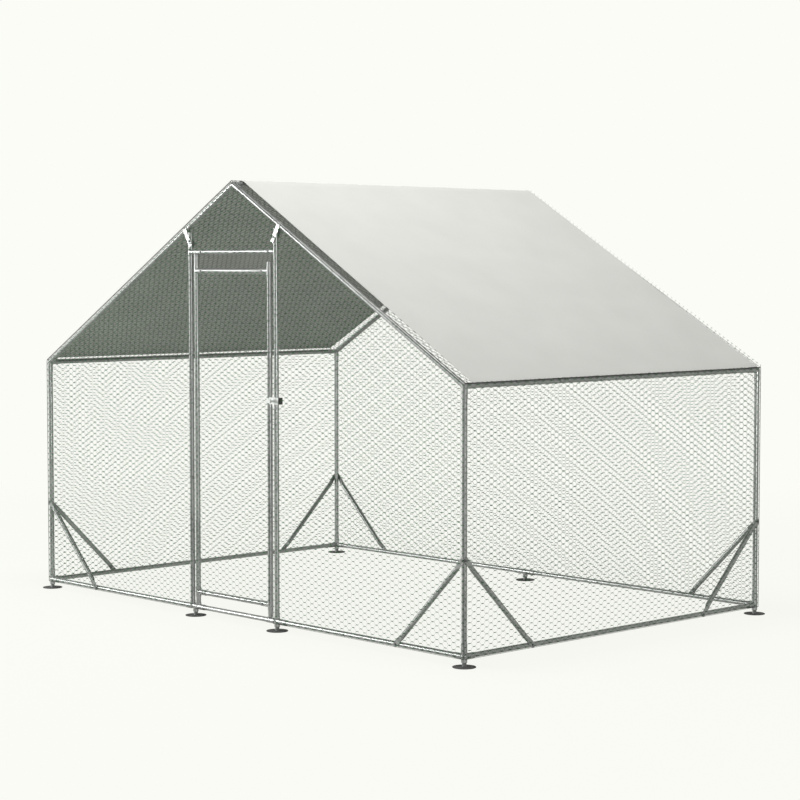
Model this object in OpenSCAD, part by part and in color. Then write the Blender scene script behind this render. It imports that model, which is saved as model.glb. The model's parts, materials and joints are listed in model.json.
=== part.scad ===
// Walk-in poultry run: tube frame, hexagonal netting, sheet roof and a swinging door.
// The front gable faces -Y, the ridge runs along Y and the ground is at z = 0.

/* [Run] */
// Width between the corner post axes
run_width = 2900; // [2400:50:3400]
// Depth between the corner post axes
run_depth = 1900; // [1500:50:2400]
// Height of the base tube axes above the ground
base_height = 43; // [40:1:60]
// Height of the eave rail axes
eave_height = 1128; // [1000:4:1300]
// Height of the ridge pole axis
ridge_height = 1965; // [1900:5:2150]

/* [Door] */
// Distance of each door foot from the middle of the front
door_half = 290; // [260:5:360]
// Spacing of the left door post and the hinge stile
pivot_spacing = 42; // [40:1:56]
// Spacing of the latch stile and the right door post
latch_spacing = 45; // [40:1:56]
// Drop of the header axis below the rafter axis at the left door post
header_drop = 119; // [115:1:200]
// Drop of the door's top rail below the header
top_rail_drop = 86; // [80:1:120]
// Rise of the door's bottom rail above the threshold
bottom_rail_rise = 69; // [66:1:120]
// Reach of the door's latch stile above its top rail
stile_horn = 19; // [18:1:30]

/* [Tubes] */
// Outside diameter of the frame tubes
tube_d = 22; // [20:0.5:24]
// Wall of the frame tubes
tube_wall = 1.2; // [1:0.1:1.5]
// Wall of the sleeves on elbows and tees
sleeve_wall = 1.5; // [1.2:0.1:1.8]
// Radial clearance between a tube and its sleeve
sleeve_gap = 0.1; // [0.06:0.01:0.15]
// Reach of an elbow's sleeves from its corner
elbow_reach = 52; // [45:1:65]
// Half length of the base tees
base_tee_reach = 66; // [60:1:80]
// Height of a tee's collar
collar_height = 45; // [36:1:52]
// Reach of a tee's stub from the collar's axis
stub_reach = 59; // [54:1:70]
// Rise of a base tee's sockets above its sleeve
socket_rise = 12; // [8:1:16]
// Radial running clearance of the hinge spigots
pivot_gap = 0.05; // [0.03:0.01:0.09]
// Length of the hinge spigots inside the stile
spigot_length = 40; // [30:1:60]

/* [Feet] */
// Diameter of a foot disc
foot_d = 96; // [92:1:110]
// Thickness of a foot disc
foot_thickness = 2.5; // [2:0.1:4]
// Diameter of a foot's stem
stem_d = 19; // [16:0.5:19]
// Depth of the stem socket below the base axis
stem_socket = 24; // [20:1:30]

/* [Braces] */
// Reach of a corner brace along the base tube
brace_reach = 390; // [300:5:500]
// Rise of a corner brace up the post
brace_rise = 387; // [300:5:500]
// Diameter of a brace
brace_d = 22; // [18:0.5:24]
// Width of the flattened ends
tab_width = 24; // [20:0.5:26]
// Thickness of the flattened ends
tab_thickness = 2; // [1.6:0.1:2.2]
// Length of the flattened ends past the screw
tab_length = 28; // [26:1:40]
// Length over which the tube is flattened
tab_taper = 28; // [20:1:40]

/* [Clamps and screws] */
// Width of the straps that hang the door posts from the rafters
strap_width = 19; // [14:0.5:22]
// Thickness of these straps
strap_thickness = 2; // [1.5:0.1:2.2]
// Length of the strap's legs below the rafter axis
strap_leg = 86; // [80:1:100]
// Distance of the strap's screw below the rafter axis
strap_screw = 60; // [55:1:66]
// Drop of the door post tops below the rafter axis
post_drop = 30; // [26:1:34]
// Diameter of the screws
screw_d = 5; // [4:0.5:5.5]
// Width of the hexagonal screw heads across corners
head_d = 11; // [9:0.5:12]
// Height of the screw heads
head_height = 3.8; // [3:0.1:4]
// Length of the screws under the head
screw_length = 8; // [7:0.5:9]

/* [Latch] */
// Height of the latch above the ground
latch_height = 1015; // [900:5:1100]
// Height of the latch strap
latch_width = 30; // [24:1:36]
// Thickness of the latch strap
latch_thickness = 2; // [1.6:0.1:2.4]
// Reach of the latch strap past the right door post
latch_overhang = 30; // [26:1:36]
// Depth of the flange behind the front of the post axis
latch_flange = 10; // [4:1:14]
// Diameter of the latch pin
pin_d = 8; // [6:0.5:9]
// Diameter of the pin's bush and knob
knob_d = 18; // [16:0.5:22]
// Length of the pin's bush and knob
knob_length = 8; // [6:0.5:8]
// Travel of the latch pin
pin_travel = 14; // [12:0.5:16]

/* [Netting] */
// Height of the netting's hexagons
net_pitch = 280; // [240:4:320]
// Width of the netting's strands
net_strand = 9; // [7:0.5:12]
// Thickness of the netting
net_thickness = 2; // [1.6:0.1:2.4]

/* [Roof cover] */
// Thickness of the roof sheet
cover_thickness = 2; // [1.6:0.1:2.4]
// Distance of the roof sheet's front edge behind the front post axes
cover_front_setback = 30; // [15:1:60]
// Distance of the roof sheet's back edge before the back post axes
cover_back_setback = 0; // [0:1:60]

/* [Hidden] */
// Clearance between pieces that rest close to one another
rest_gap = 0.3;
// Overlap of cutters beyond the faces that they cut
over_cut = 1;
// Diameter of the cutters for the screws over the screws
screw_play = 0.2;

half_w = run_width / 2;
half_d = run_depth / 2;
tube_r = tube_d / 2;
bore_r = tube_r + sleeve_gap;
sleeve_r = bore_r + sleeve_wall;
ball_share = 1.05;
ball_r = sleeve_r * ball_share;
stop_share = 1.12;
tube_stop = sleeve_r * stop_share;
tube_end = tube_stop + rest_gap;
stem_r = stem_d / 2;
stem_bore_r = stem_r + sleeve_gap;
stem_stop = bore_r + sleeve_wall;
screw_r = screw_d / 2;
screw_hole_r = (screw_d + screw_play) / 2;

// Roof slope
roof_rise = ridge_height - eave_height;
roof_slope = atan2(roof_rise, half_w);
rafter_length = sqrt(half_w * half_w + roof_rise * roof_rise);
function rafter_z(x) = ridge_height - abs(x) * roof_rise / half_w;

// Door lines
post_a = -(door_half + pivot_spacing / 2);
pivot_x = -(door_half - pivot_spacing / 2);
post_d = door_half;
latch_x = door_half - latch_spacing;
header_z = rafter_z(post_a) - header_drop;
top_rail_z = header_z - top_rail_drop;
bottom_rail_z = base_height + bottom_rail_rise;
boss_share = 1.5;
boss_rise = sleeve_r * boss_share;
spigot_r = tube_r - tube_wall - pivot_gap;
stub_screw_share = 0.72;
stub_screw = stub_reach * stub_screw_share;

// Brace lines
brace_top = base_height + brace_rise;
brace_length = sqrt(brace_reach * brace_reach + brace_rise * brace_rise);
brace_turn = 180 - atan2(brace_reach, brace_rise);
tab_in = tube_r;
tab_out = tab_in + tab_thickness;
slice = tab_thickness / 4;

// Outward levels of what lies on the frame, from the tube axes
head_in = max(tab_out, sleeve_r, bore_r + strap_thickness);
head_out = head_in + head_height;
brace_level = head_out - brace_d / 2;
net_in = head_out + rest_gap;
net_out = net_in + net_thickness;
roof_net_in = max(ball_r, bore_r + strap_thickness) + rest_gap;
cover_in = roof_net_in + net_thickness + rest_gap;
cover_out = cover_in + cover_thickness;

// Latch levels
strap_in = tube_r + 2 * rest_gap;
strap_out = strap_in + latch_thickness;
bush_out = strap_out + knob_length;
pin_r = pin_d / 2;
pin_tip = strap_in;
knob_in = bush_out + pin_travel + rest_gap;
latch_end = post_d + latch_overhang;
net_right_start = latch_end + 2 * latch_thickness;

steel = [0.62, 0.64, 0.63];
bright_steel = [0.78, 0.79, 0.79];
wire = [0.42, 0.48, 0.43];
dark_steel = [0.22, 0.23, 0.23];
sheet = [0.87, 0.87, 0.85];

quarter_turn = 90;
along_x = [0, quarter_turn, 0];
against_x = [0, -quarter_turn, 0];
along_y = [-quarter_turn, 0, 0];
against_y = [quarter_turn, 0, 0];
up = [0, 0, 0];
down = [180, 0, 0];

// Puts a piece drawn for the front left corner at the corner with the given signs
module corner(side, end) {
    mirror([(1 + side) / 2, 0, 0])
        mirror([0, (1 + end) / 2, 0])
            translate([-half_w, -half_d, 0])
                children();
}

// Swaps a corner's front and left sides
module swap_sides() {
    mirror([1, -1, 0])
        children();
}

module pipe(length) {
    difference() {
        cylinder(r = tube_r, h = length);
        translate([0, 0, -over_cut])
            cylinder(r = tube_r - tube_wall, h = length + 2 * over_cut);
    }
}

// Cutter for a screw that enters along -Z at the given level above the tube's axis
module screw_hole(level) {
    translate([0, 0, level - screw_length - over_cut])
        cylinder(r = screw_hole_r, h = screw_length + 2 * over_cut);
}

// Screw whose head sits on the given level and whose shank points along -Z
module screw(level) {
    translate([0, 0, level])
        cylinder(d = head_d, h = head_height, $fn = 6);
    translate([0, 0, level - screw_length])
        cylinder(r = screw_r, h = screw_length, $fn = 12);
}

// Pipe between two points of one axis line, turned from +Z
module run_pipe(turn, from, to) {
    rotate(turn)
        translate([0, 0, from])
            pipe(to - from);
}

// Corner fitting with one sleeve for each turn and, where it stands, a socket for a foot's stem
module elbow(turns, stands) {
    color(steel)
        difference() {
            union() {
                sphere(r = ball_r);
                for (turn = turns)
                    rotate(turn)
                        cylinder(r = sleeve_r, h = elbow_reach);
                if (stands)
                    rotate(down)
                        cylinder(r = sleeve_r, h = stem_socket);
            }
            for (turn = turns)
                rotate(turn)
                    translate([0, 0, tube_stop])
                        cylinder(r = bore_r, h = elbow_reach);
            if (stands)
                stem_bore();
        }
}

module stem_bore() {
    rotate(down)
        translate([0, 0, stem_stop])
            cylinder(r = stem_bore_r, h = stem_socket);
}

// Corner posts, with holes for the screws of the braces on both outer faces
module corner_post(side, end) {
    color(steel)
        corner(side, end)
            difference() {
                translate([0, 0, base_height + tube_end])
                    pipe(eave_height - base_height - 2 * tube_end);
                translate([0, 0, brace_top]) {
                    rotate(against_y)
                        screw_hole(tab_out);
                    rotate(against_x)
                        screw_hole(tab_out);
                }
            }
}

module door_post_left() {
    color(steel)
        translate([post_a, -half_d, 0])
            difference() {
                translate([0, 0, base_height + tube_end])
                    pipe(rafter_z(post_a) - post_drop - base_height - tube_end);
                clamp_screw_hole(post_a);
            }
}

module door_post_right() {
    color(steel)
        translate([post_d, -half_d, 0])
            difference() {
                translate([0, 0, base_height + tube_end])
                    pipe(rafter_z(post_d) - post_drop - base_height - tube_end);
                clamp_screw_hole(post_d);
                translate([0, 0, latch_height])
                    rotate(against_y)
                        cylinder(r = pin_r + rest_gap, h = tube_d);
            }
}

module clamp_screw_hole(post_x) {
    translate([0, 0, clamp_screw_z(post_x)])
        rotate(against_y)
            screw_hole(bore_r + strap_thickness);
}

// A clamp hangs square to its rafter, and its screw lies on the post's axis
function clamp_x(post_x) = abs(post_x) + strap_screw * sin(roof_slope);
function clamp_screw_z(post_x) = rafter_z(clamp_x(post_x)) - strap_screw * cos(roof_slope);

module door_header() {
    color(steel)
        translate([0, -half_d, header_z])
            difference() {
                run_pipe(along_x, pivot_x + tube_end, post_d - tube_end);
                for (x = [pivot_x + stub_screw, post_d - stub_screw])
                    translate([x, 0, 0])
                        rotate(against_y)
                            screw_hole(sleeve_r);
            }
}

// Front base tubes, drawn for the left side
module front_base(side, door_foot) {
    color(steel)
        corner(side, -1)
            translate([0, 0, base_height])
                difference() {
                    run_pipe(along_x, tube_end, half_w - door_foot - tube_end);
                    translate([brace_reach, 0, 0])
                        rotate(against_y)
                            screw_hole(tab_out);
                }
}

module threshold() {
    color(steel)
        translate([0, -half_d, base_height])
            run_pipe(along_x, tube_end - door_half, door_half - tube_end);
}

module base_back() {
    color(steel)
        translate([0, half_d, base_height])
            difference() {
                run_pipe(along_x, tube_end - half_w, half_w - tube_end);
                for (side = [-1, 1])
                    translate([side * (half_w - brace_reach), 0, 0])
                        rotate(along_y)
                            screw_hole(tab_out);
            }
}

module side_base(side) {
    color(steel)
        translate([side * half_w, 0, base_height])
            difference() {
                run_pipe(along_y, tube_end - half_d, half_d - tube_end);
                for (end = [-1, 1])
                    translate([0, end * (half_d - brace_reach), 0])
                        rotate(side < 0 ? against_x : along_x)
                            screw_hole(tab_out);
            }
}

module rail(x, z) {
    color(steel)
        translate([x, 0, z])
            run_pipe(along_y, tube_end - half_d, half_d - tube_end);
}

module rafter(side, end) {
    color(steel)
        corner(side, end)
            translate([0, 0, eave_height])
                run_pipe([0, quarter_turn - roof_slope, 0], tube_end, rafter_length - tube_end);
}

module base_elbow(side, end) {
    corner(side, end)
        translate([0, 0, base_height])
            elbow([up, along_x, along_y], true);
}

module eave_elbow(side, end) {
    corner(side, end)
        translate([0, 0, eave_height])
            elbow([down, along_y, [0, quarter_turn - roof_slope, 0]], false);
}

module ridge_elbow(end) {
    mirror([0, (1 + end) / 2, 0])
        translate([0, -half_d, ridge_height])
            elbow([along_y, [0, quarter_turn + roof_slope, 0], [0, -quarter_turn - roof_slope, 0]], false);
}

// Sleeve of a base tee, along X, with its foot socket
module base_tee_body() {
    rotate(against_x)
        cylinder(r = sleeve_r, h = base_tee_reach);
    rotate(along_x)
        cylinder(r = sleeve_r, h = base_tee_reach);
    rotate(down)
        cylinder(r = sleeve_r, h = stem_socket);
}

module base_tee_bores(stop) {
    for (turn = [along_x, against_x])
        rotate(turn)
            translate([0, 0, stop])
                cylinder(r = bore_r, h = base_tee_reach);
    stem_bore();
}

module post_socket_bore() {
    translate([0, 0, tube_stop])
        cylinder(r = bore_r, h = sleeve_r + socket_rise);
}

// Double tee: a socket for the left door post and a spigot for the hinge stile
module base_tee_left() {
    color(steel)
        translate([-door_half, -half_d, base_height])
            difference() {
                union() {
                    base_tee_body();
                    translate([-pivot_spacing / 2, 0, 0])
                        cylinder(r = sleeve_r, h = sleeve_r + socket_rise);
                    translate([pivot_spacing / 2, 0, 0])
                        hinge_spigot();
                }
                base_tee_bores(tube_stop);
                translate([-pivot_spacing / 2, 0, 0])
                    post_socket_bore();
            }
}

// Shoulder and spigot that a stile turns on
module hinge_spigot() {
    cylinder(r = sleeve_r, h = boss_rise);
    cylinder(r = spigot_r, h = boss_rise + spigot_length);
}

module base_tee_right() {
    color(steel)
        translate([door_half, -half_d, base_height])
            difference() {
                union() {
                    base_tee_body();
                    cylinder(r = sleeve_r, h = sleeve_r + socket_rise);
                }
                base_tee_bores(tube_stop);
                post_socket_bore();
            }
}

// Tee of the middle foot, threaded on the long back tube
module base_tee_back() {
    color(steel)
        translate([0, half_d, base_height])
            difference() {
                base_tee_body();
                base_tee_bores(0);
            }
}

// Tee whose collar slides on an upright and whose stub points along +X
module tee(collar_to_bore, stub) {
    color(steel)
        difference() {
            union() {
                translate([0, 0, -collar_height / 2])
                    cylinder(r = sleeve_r, h = collar_height);
                rotate(along_x)
                    cylinder(r = sleeve_r, h = stub);
                children();
            }
            translate([0, 0, -collar_height])
                cylinder(r = bore_r, h = 2 * collar_height);
            rotate(along_x)
                translate([0, 0, collar_to_bore])
                    cylinder(r = bore_r, h = stub);
            translate([stub - stub_reach + stub_screw, 0, 0])
                rotate(against_y)
                    screw_hole(sleeve_r);
        }
}

module header_tee_left() {
    translate([post_a, -half_d, header_z])
        tee(pivot_spacing + tube_stop, pivot_spacing + stub_reach)
            translate([pivot_spacing, 0, 0])
                rotate(down)
                    hinge_spigot();
}

module header_tee_right() {
    translate([post_d, -half_d, header_z])
        mirror([1, 0, 0])
            tee(tube_stop, stub_reach);
}

module foot() {
    cylinder(d = foot_d, h = foot_thickness);
    cylinder(r = stem_r, h = base_height - stem_stop - rest_gap);
}

module feet() {
    color(dark_steel) {
        for (side = [-1, 1], end = [-1, 1])
            translate([side * half_w, end * half_d, 0])
                foot();
        for (side = [-1, 1])
            translate([side * door_half, -half_d, 0])
                foot();
        translate([0, half_d, 0])
            foot();
    }
}

// Flattened end of a brace, lying on the outside of a tube
module brace_tab() {
    difference() {
        union() {
            rotate(against_y)
                translate([0, 0, tab_in])
                    cylinder(d = tab_width, h = tab_thickness);
            translate([-tab_width / 2, -tab_out, 0])
                cube([tab_width, tab_thickness, tab_length]);
        }
        rotate(against_y)
            screw_hole(tab_out);
    }
    hull() {
        translate([-tab_width / 2, -tab_out, tab_length - slice])
            cube([tab_width, tab_thickness, slice]);
        translate([0, -brace_level, tab_length + tab_taper])
            cylinder(d = brace_d, h = slice, $fn = 24);
    }
}

// Brace on the front face of the front left corner
module brace() {
    translate([0, 0, brace_top])
        rotate([0, brace_turn, 0]) {
            brace_tab();
            translate([0, 0, brace_length])
                mirror([0, 0, 1])
                    brace_tab();
            translate([0, -brace_level, tab_length + tab_taper])
                cylinder(d = brace_d, h = brace_length - 2 * (tab_length + tab_taper));
        }
}

module end_braces(end) {
    color(steel)
        for (side = [-1, 1])
            corner(side, end)
                brace();
}

module side_braces(side) {
    color(steel)
        for (end = [-1, 1])
            corner(side, end)
                swap_sides()
                    brace();
}

// Strap folded over a rafter, with one leg on each face of the door post below it
module rafter_clamp(post_x) {
    translate([clamp_x(post_x), -half_d, rafter_z(clamp_x(post_x))])
        rotate([0, roof_slope, 0])
            difference() {
                translate([-strap_width / 2, 0, 0])
                    rotate([quarter_turn, 0, quarter_turn])
                        linear_extrude(height = strap_width)
                            strap_profile();
                translate([0, 0, -strap_screw])
                    rotate(against_y)
                        screw_hole(bore_r + strap_thickness);
            }
}

module strap_profile() {
    strap_r = bore_r + strap_thickness;
    difference() {
        union() {
            circle(r = strap_r);
            translate([-strap_r, -strap_leg])
                square([2 * strap_r, strap_leg]);
        }
        circle(r = bore_r);
        translate([-bore_r, -strap_leg - over_cut])
            square([2 * bore_r, strap_leg + over_cut]);
    }
}

module rafter_clamps() {
    color(bright_steel) {
        rafter_clamp(post_d);
        mirror([1, 0, 0])
            rafter_clamp(post_a);
    }
}

module frame_screws() {
    color(dark_steel) {
        for (side = [-1, 1], end = [-1, 1])
            corner(side, end) {
                brace_screws();
                swap_sides()
                    brace_screws();
            }
        translate([0, -half_d, 0]) {
            for (x = [pivot_x + stub_screw, post_d - stub_screw])
                translate([x, 0, header_z])
                    rotate(against_y)
                        screw(sleeve_r);
            for (x = [post_a, post_d])
                translate([x, 0, clamp_screw_z(x)])
                    rotate(against_y)
                        screw(bore_r + strap_thickness);
        }
    }
}

module brace_screws() {
    translate([0, 0, brace_top])
        rotate(against_y)
            screw(tab_out);
    translate([brace_reach, 0, base_height])
        rotate(against_y)
            screw(tab_out);
}

// Hexagonal netting inside a convex outline that runs anticlockwise.
// A cell is kept while its centre lies no further outside than this share of the pitch.
edge_cell_share = 0.4;
function turned(v) = [-v[1], v[0]];
function unit(v) = v / norm(v);
function edge_normal(points, i) = turned(unit(points[(i + 1) % len(points)] - points[i]));
function edge_offset(points, i) = edge_normal(points, i) * points[i];
function crossing(n, a, m, b) =
    [a * m[1] - b * n[1], b * n[0] - a * m[0]] / (n[0] * m[1] - n[1] * m[0]);
function inset(points, by) = [
    for (i = [0 : len(points) - 1])
        let (j = (i + len(points) - 1) % len(points))
            crossing(edge_normal(points, j), edge_offset(points, j) + by,
                edge_normal(points, i), edge_offset(points, i) + by)
];
function depth_inside(point, points) =
    min([for (i = [0 : len(points) - 1]) edge_normal(points, i) * point - edge_offset(points, i)]);
function lowest(points, axis) = min([for (point = points) point[axis]]);
function highest(points, axis) = max([for (point = points) point[axis]]);

module netting(points) {
    border = inset(points, net_strand);
    column = net_pitch * sqrt(3) / 2;
    least_depth = -net_pitch * edge_cell_share;
    middle = [(lowest(points, 0) + highest(points, 0)) / 2, (lowest(points, 1) + highest(points, 1)) / 2];
    columns = ceil((highest(points, 0) - lowest(points, 0)) / column / 2);
    rows = ceil((highest(points, 1) - lowest(points, 1)) / net_pitch / 2);
    linear_extrude(height = net_thickness)
        difference() {
            polygon(points);
            intersection() {
                polygon(border);
                for (i = [-columns : columns], j = [-rows : rows]) {
                    centre = middle + [i * column, (j + (i % 2 == 0 ? 0 : 1) / 2) * net_pitch];
                    if (depth_inside(centre, border) > least_depth)
                        translate(centre)
                            circle(r = (net_pitch - net_strand) / sqrt(3), $fn = 6);
                }
            }
        }
}

// Netting on the front or back face, drawn in X and Z
module end_netting(end, points) {
    color(wire)
        translate([0, end < 0 ? -half_d - net_in : half_d + net_out, 0])
            rotate(against_y)
                netting(points);
}

// Netting on the left or right face, drawn in Y and Z
module side_netting(side) {
    reach = half_d + net_in - rest_gap;
    color(wire)
        translate([side < 0 ? -half_w - net_out : half_w + net_in, 0, 0])
            rotate([quarter_turn, 0, quarter_turn])
                netting([
                    [-reach, base_height - tube_r], [reach, base_height - tube_r],
                    [reach, eave_height], [-reach, eave_height]
                ]);
}

net_foot = base_height - tube_r;
wall_reach = half_w + net_out;
function net_head(x) = rafter_z(x) + tube_r;

module front_net_left() {
    end_netting(-1, [
        [-wall_reach, net_foot], [post_a, net_foot],
        [post_a, net_head(post_a)], [-wall_reach, net_head(wall_reach)]
    ]);
}

module front_net_right() {
    end_netting(-1, [
        [net_right_start, net_foot], [wall_reach, net_foot],
        [wall_reach, net_head(wall_reach)], [net_right_start, net_head(net_right_start)]
    ]);
}

module front_net_top() {
    left = post_a + rest_gap;
    right = net_right_start - rest_gap;
    end_netting(-1, [
        [left, header_z], [right, header_z], [right, net_head(right)],
        [0, net_head(0)], [left, net_head(left)]
    ]);
}

module back_net() {
    end_netting(1, [
        [-wall_reach, net_foot], [wall_reach, net_foot], [wall_reach, net_head(wall_reach)],
        [0, net_head(0)], [-wall_reach, net_head(wall_reach)]
    ]);
}

// Netting on one slope of the roof, from the eave rail to the ridge
module roof_netting(side) {
    ridge_start = rest_gap - roof_net_in * tan(roof_slope);
    reach = half_d + tube_r;
    color(wire)
        mirror([(1 - side) / 2, 0, 0])
            translate([0, 0, ridge_height])
                rotate([0, roof_slope, 0])
                    translate([0, 0, roof_net_in])
                        netting([
                            [ridge_start, -reach], [rafter_length, -reach],
                            [rafter_length, reach], [ridge_start, reach]
                        ]);
}

// One sheet over both slopes
module roof_cover() {
    slope_in = cover_in / cos(roof_slope);
    slope_out = cover_out / cos(roof_slope);
    eave_in = [half_w + cover_in * sin(roof_slope), eave_height + cover_in * cos(roof_slope)];
    eave_out = [half_w + cover_out * sin(roof_slope), eave_height + cover_out * cos(roof_slope)];
    length = run_depth - cover_front_setback - cover_back_setback;
    color(sheet)
        translate([0, half_d - cover_back_setback, 0])
            rotate(against_y)
                linear_extrude(height = length)
                    polygon([
                        [0, ridge_height + slope_out], [-eave_out[0], eave_out[1]],
                        [-eave_in[0], eave_in[1]], [0, ridge_height + slope_in],
                        eave_in, eave_out
                    ]);
}

// Door: the hollow hinge stile turns on the spigots of the base tee and the header tee
module hinge_stile() {
    foot_z = base_height + boss_rise + rest_gap;
    color(steel)
        translate([pivot_x, -half_d, foot_z])
            pipe(header_z - boss_rise - rest_gap - foot_z);
}

module latch_stile() {
    foot_z = base_height + sleeve_r + 4 * rest_gap;
    color(steel)
        translate([latch_x, -half_d, foot_z])
            pipe(top_rail_z + stile_horn + collar_height / 2 - foot_z);
}

module door_rail(z) {
    color(steel)
        translate([0, -half_d, z])
            difference() {
                run_pipe(along_x, pivot_x + tube_end, latch_x - tube_end);
                for (x = [pivot_x + stub_screw, latch_x - stub_screw])
                    translate([x, 0, 0])
                        rotate(against_y)
                            screw_hole(sleeve_r);
            }
}

module door_tees() {
    for (z = [bottom_rail_z, top_rail_z]) {
        translate([pivot_x, -half_d, z])
            tee(tube_stop, stub_reach);
        translate([latch_x, -half_d, z])
            mirror([1, 0, 0])
                tee(tube_stop, stub_reach);
    }
}

module door_net() {
    end_netting(-1, [
        [pivot_x, bottom_rail_z], [latch_x, bottom_rail_z],
        [latch_x, top_rail_z], [pivot_x, top_rail_z]
    ]);
}

module door_screws() {
    color(dark_steel)
        for (z = [bottom_rail_z, top_rail_z], x = [pivot_x + stub_screw, latch_x - stub_screw])
            translate([x, -half_d, z])
                rotate(against_y)
                    screw(sleeve_r);
}

// Strap on the latch stile that stops on the right door post and carries the pin
module latch_strap() {
    reach = latch_spacing + latch_overhang;
    color(bright_steel)
        translate([latch_x, -half_d, latch_height - latch_width / 2])
            difference() {
                union() {
                    cylinder(r = strap_out, h = latch_width);
                    translate([0, -strap_out, 0])
                        cube([reach, latch_thickness, latch_width]);
                    translate([reach - latch_thickness, -strap_out, 0])
                        cube([latch_thickness, strap_out + latch_flange, latch_width]);
                    translate([latch_spacing, 0, latch_width / 2])
                        rotate(against_y)
                            translate([0, 0, strap_in])
                                cylinder(d = knob_d, h = bush_out - strap_in);
                }
                translate([0, 0, -over_cut])
                    cylinder(r = bore_r, h = latch_width + 2 * over_cut);
                translate([latch_spacing, 0, latch_width / 2])
                    rotate(against_y)
                        cylinder(r = pin_r + pivot_gap, h = bush_out + over_cut);
            }
}

// Pin that locks the door, drawn back in its bush
module latch_pin() {
    color(dark_steel)
        translate([post_d, -half_d, latch_height])
            rotate(against_y) {
                translate([0, 0, pin_tip])
                    cylinder(r = pin_r, h = knob_in - pin_tip);
                translate([0, 0, knob_in])
                    cylinder(d = knob_d, h = knob_length);
            }
}

corner_post(-1, -1);  // post_front_left
corner_post(1, -1);  // post_front_right
corner_post(-1, 1);  // post_back_left
corner_post(1, 1);  // post_back_right
door_post_left();
door_post_right();
door_header();
front_base(-1, door_half);  // base_front_left
threshold();
front_base(1, door_half);  // base_front_right
base_back();
side_base(-1);  // base_left
side_base(1);  // base_right
rail(-half_w, eave_height);  // eave_left
rail(half_w, eave_height);  // eave_right
rail(0, ridge_height);  // ridge_pole
rafter(-1, -1);  // rafter_front_left
rafter(1, -1);  // rafter_front_right
rafter(-1, 1);  // rafter_back_left
rafter(1, 1);  // rafter_back_right
base_elbow(-1, -1);  // base_elbow_front_left
base_elbow(1, -1);  // base_elbow_front_right
base_elbow(-1, 1);  // base_elbow_back_left
base_elbow(1, 1);  // base_elbow_back_right
eave_elbow(-1, -1);  // eave_elbow_front_left
eave_elbow(1, -1);  // eave_elbow_front_right
eave_elbow(-1, 1);  // eave_elbow_back_left
eave_elbow(1, 1);  // eave_elbow_back_right
ridge_elbow(-1);  // ridge_elbow_front
ridge_elbow(1);  // ridge_elbow_back
base_tee_left();
base_tee_right();
base_tee_back();
header_tee_left();
header_tee_right();
feet();
end_braces(-1);  // braces_front
end_braces(1);  // braces_back
side_braces(-1);  // braces_left
side_braces(1);  // braces_right
rafter_clamps();
frame_screws();
front_net_left();
front_net_right();
front_net_top();
back_net();
side_netting(-1);  // left_net
side_netting(1);  // right_net
roof_netting(-1);  // roof_net_left
roof_netting(1);  // roof_net_right
roof_cover();
hinge_stile();
latch_stile();
door_rail(top_rail_z);  // door_top_rail
door_rail(bottom_rail_z);  // door_bottom_rail
door_tees();
door_net();
door_screws();
latch_strap();
latch_pin();
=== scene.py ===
import json
import math

import bmesh
import bpy
import numpy as np
from mathutils import Matrix, Vector


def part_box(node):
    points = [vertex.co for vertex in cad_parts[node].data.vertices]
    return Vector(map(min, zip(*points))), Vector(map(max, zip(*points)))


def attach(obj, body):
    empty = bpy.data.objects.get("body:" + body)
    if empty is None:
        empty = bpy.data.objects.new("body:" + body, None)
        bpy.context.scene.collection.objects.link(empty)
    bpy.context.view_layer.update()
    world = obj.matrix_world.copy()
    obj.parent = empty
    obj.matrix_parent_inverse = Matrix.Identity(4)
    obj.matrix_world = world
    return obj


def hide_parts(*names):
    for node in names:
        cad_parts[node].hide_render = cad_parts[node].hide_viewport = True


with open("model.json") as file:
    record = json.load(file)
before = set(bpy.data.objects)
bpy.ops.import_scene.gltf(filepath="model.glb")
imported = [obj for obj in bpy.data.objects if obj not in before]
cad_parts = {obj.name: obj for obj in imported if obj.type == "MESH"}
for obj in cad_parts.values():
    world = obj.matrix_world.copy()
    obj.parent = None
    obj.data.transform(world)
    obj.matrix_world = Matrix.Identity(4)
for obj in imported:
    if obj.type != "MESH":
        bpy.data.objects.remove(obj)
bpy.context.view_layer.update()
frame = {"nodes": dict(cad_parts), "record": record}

bl_info = {
    "name": "Chicken run",
    "version": (1, 0, 0),
    "blender": (4, 5, 0),
    "location": "View3D > Sidebar > Chicken run",
    "description": "Dresses a tube-framed chicken run with netting, a roof sheet and zinc finishes",
    "category": "Object",
}

FULL_TURN = 2 * math.pi
QUARTER_TURN = math.pi / 2

# Netting: sides of a wire, steps in one turn of a twist, where the first row starts in mesh heights,
# and how far an end panel stands over the rafter axes in tube radii
WIRE_SIDES, EDGE_WIRE_SIDES = 3, 6
TWIST_STEPS = 4
FIELD_START = 0.75
WELD_DISTANCE = 0.00002
CUT_TOLERANCE = 0.000001
GABLE_STAND = 0.8

# Roof sheet: its grid, the mean of its slack, and two waves on that, each with its height,
# its turns along the ridge, its turns for each metre down the slope and its shift
SHEET_COLUMNS, SHEET_ROWS = 168, 92
SLACK_MEAN = 0.6
SLACK_WAVES = ((0.25, 2.2, 0.7, 1), (0.15, -1.3, 5.1, 2))
CRISP_ANGLE = math.radians(35)
# Faces that look further down than this take the underside colour, which is painted light
UNDERSIDE_NORMAL = -0.3

# Weave of the sheet: the tapes and their bump, how much darker cloud and under-tape make it, the painted
# shade in the gaps between tapes, and gloss
TAPE_WIDTH, TAPE_HEIGHT, TAPE_STRENGTH = 0.0024, 0.0003, 0.35
CLOUD_SHADE, UNDER_TAPE_SHADE, GAP_SHADE = 0.5, 0.12, 0.35
GAP_RANGE = (0.0, 0.35)
SHEET_ROUGHNESS, SHEET_SPECULAR = (0.48, 0.62), 0.3

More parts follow.
